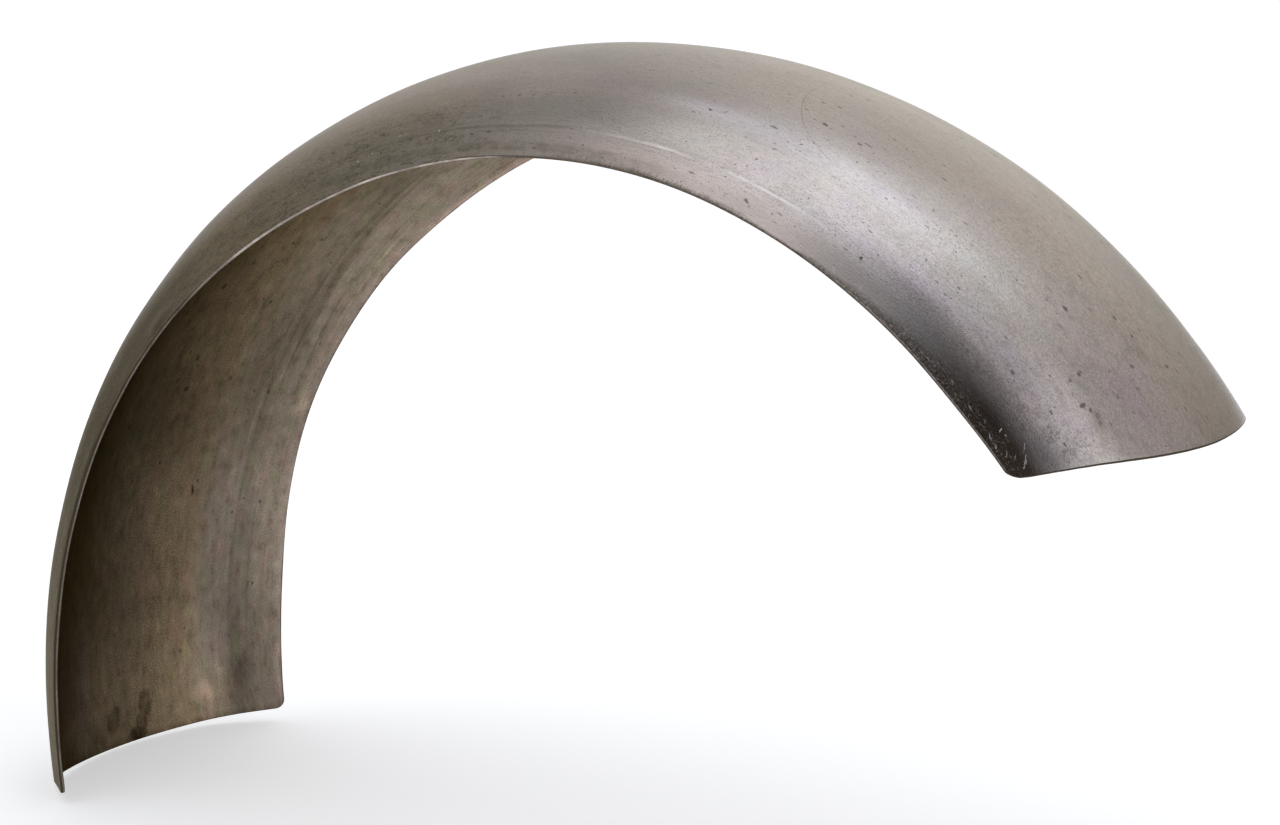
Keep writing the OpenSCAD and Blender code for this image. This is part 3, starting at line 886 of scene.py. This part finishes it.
# patches of studio light: azimuth from the front toward +X, elevation, where it starts and is full
# (degrees from its middle), and its colour
STUDIO = [
    (-157, 28, 51, 41, (0.16, 0.13, 0.13)),
    (-151, -8, 22, 17, (0.11, 0.12, 0.09)),
    (-135, 54, 63, 44, (0.41, 0.42, 0.41)),
    (97, 13, 59, 47, (0.31, 0.28, 0.33)),
    (80, 25, 41, 1, (0.74, 0.79, 0.85)),
    (153, 67, 19, 1, (0.66, 0.76, 0.98)),
    (-30, 46, 21, 17, (0.46, 0.44, 0.45)),
    (11, 77, 32, 11, (1.00, 1.07, 1.20)),
    (-154, 67, 16, 11, (0.42, 0.50, 0.68)),
    (146, 16, 72, 53, (0.22, 0.22, 0.18)),
]
CAM_PLACE = (1.05876, -1.63225, 0.57807)
CAM_AZ, CAM_EL = math.radians(33.206), math.radians(11.932)
CAM_LENS = 119.06


def make_floor():
    """Wide pale floor: lit by the studio, and white to the camera and in the metal."""
    mesh = bpy.data.meshes.new("floor")
    w = FLOOR_HALF
    mesh.from_pydata([(-w, -w, FLOOR_Z), (w, -w, FLOOR_Z), (w, w, FLOOR_Z), (-w, w, FLOOR_Z)], [],
                     [(0, 1, 2, 3)])
    floor = bpy.data.objects.new("floor", mesh)
    bpy.context.collection.objects.link(floor)
    mat, n = new_material("floor_white")
    shader = n.new("ShaderNodeBsdfDiffuse")
    n.put(shader.inputs["Color"], (0.8, 0.8, 0.8))
    path = n.new("ShaderNodeLightPath")
    seen = n.most(path.outputs["Is Camera Ray"], path.outputs["Is Glossy Ray"])
    seen = n.most(seen, path.outputs["Is Transmission Ray"])
    glow = n.new("ShaderNodeEmission")
    n.put(glow.inputs[0], (1, 1, 1))
    n.put(glow.inputs[1], n.mul(seen, FLOOR_GLOW))
    both = n.new("ShaderNodeAddShader")
    n.put(both.inputs[0], shader.outputs[0])
    n.put(both.inputs[1], glow.outputs[0])
    out = n.new("ShaderNodeOutputMaterial")
    n.put(out.inputs["Surface"], both.outputs[0])
    mesh.materials.append(mat)


def make_world():
    """Soft studio: a few broad patches of light round the object, dark in front below the key."""
    world = bpy.data.worlds.new("studio")
    bpy.context.scene.world = world
    world.use_nodes = True
    n = Nodes(world.node_tree)
    ray = n.new("ShaderNodeTexCoord").outputs["Generated"]
    total = (WORLD_LEAST,) * 3
    for azimuth, elevation, start, full, tint in STUDIO:
        a, e = math.radians(azimuth), math.radians(elevation)
        toward = (math.sin(a) * math.cos(e), -math.cos(a) * math.cos(e), math.sin(e))
        dot = n.new("ShaderNodeVectorMath", operation="DOT_PRODUCT")
        n.put(dot.inputs[0], ray)
        n.put(dot.inputs[1], toward)
        share = n.ramp(dot.outputs["Value"], math.cos(math.radians(start)), math.cos(math.radians(full)))
        patch = n.new("ShaderNodeVectorMath", operation="MULTIPLY_ADD")
        n.put(patch.inputs[0], share)
        n.put(patch.inputs[1], tint)
        n.put(patch.inputs[2], total)
        total = patch.outputs["Vector"]
    shown = n.new("ShaderNodeBackground")
    n.put(shown.inputs[0], total)
    n.put(shown.inputs[1], 1.0)
    out = n.new("ShaderNodeOutputWorld")
    n.put(out.inputs[0], shown.outputs[0])


def make_lamp(name, place, aim, size, power):
    """A rectangular soft lamp at a place, turned toward its aim."""
    lamp = bpy.data.lights.new(name, "AREA")
    lamp.shape = "RECTANGLE"
    lamp.size, lamp.size_y = size
    lamp.energy = power
    obj = bpy.data.objects.new(name, lamp)
    bpy.context.collection.objects.link(obj)
    back = np.array(place, float) - np.array(aim, float)
    back /= np.linalg.norm(back)
    right = np.cross([0.0, 1.0, 0.0] if abs(back[2]) > 0.95 else [0.0, 0.0, 1.0], back)
    right /= np.linalg.norm(right)
    up = np.cross(back, right)
    obj.matrix_world = Matrix([[right[i], up[i], back[i], place[i]] for i in range(3)] + [[0, 0, 0, 1]])


def make_camera():
    """The photo's camera, fitted to the fender's outline."""
    data = bpy.data.cameras.new("camera")
    data.sensor_width = 36.0
    data.lens = CAM_LENS
    data.clip_end = 100.0
    cam = bpy.data.objects.new("camera", data)
    bpy.context.collection.objects.link(cam)
    ca, sa, ce, se = math.cos(CAM_AZ), math.sin(CAM_AZ), math.cos(CAM_EL), math.sin(CAM_EL)
    back = (sa * ce, -ca * ce, se)
    right = (ca, sa, 0.0)
    up = (-sa * se, ca * se, ce)
    cam.matrix_world = Matrix([[right[i], up[i], back[i], CAM_PLACE[i]] for i in range(3)] + [[0, 0, 0, 1]])
    bpy.context.scene.camera = cam


make_camera()
make_world()
make_floor()
make_lamp("softbox_over", (0.0, 0.0, 3.0), (0, 0, 0), (2.4, 2.8), 4)
fender = make_sheet([outside_steel(), inside_steel(), edge_steel()])
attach(fender, "root")
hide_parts("fender_shell")

bpy.context.scene.view_settings.view_transform = "Standard"
bpy.context.view_layer.update()
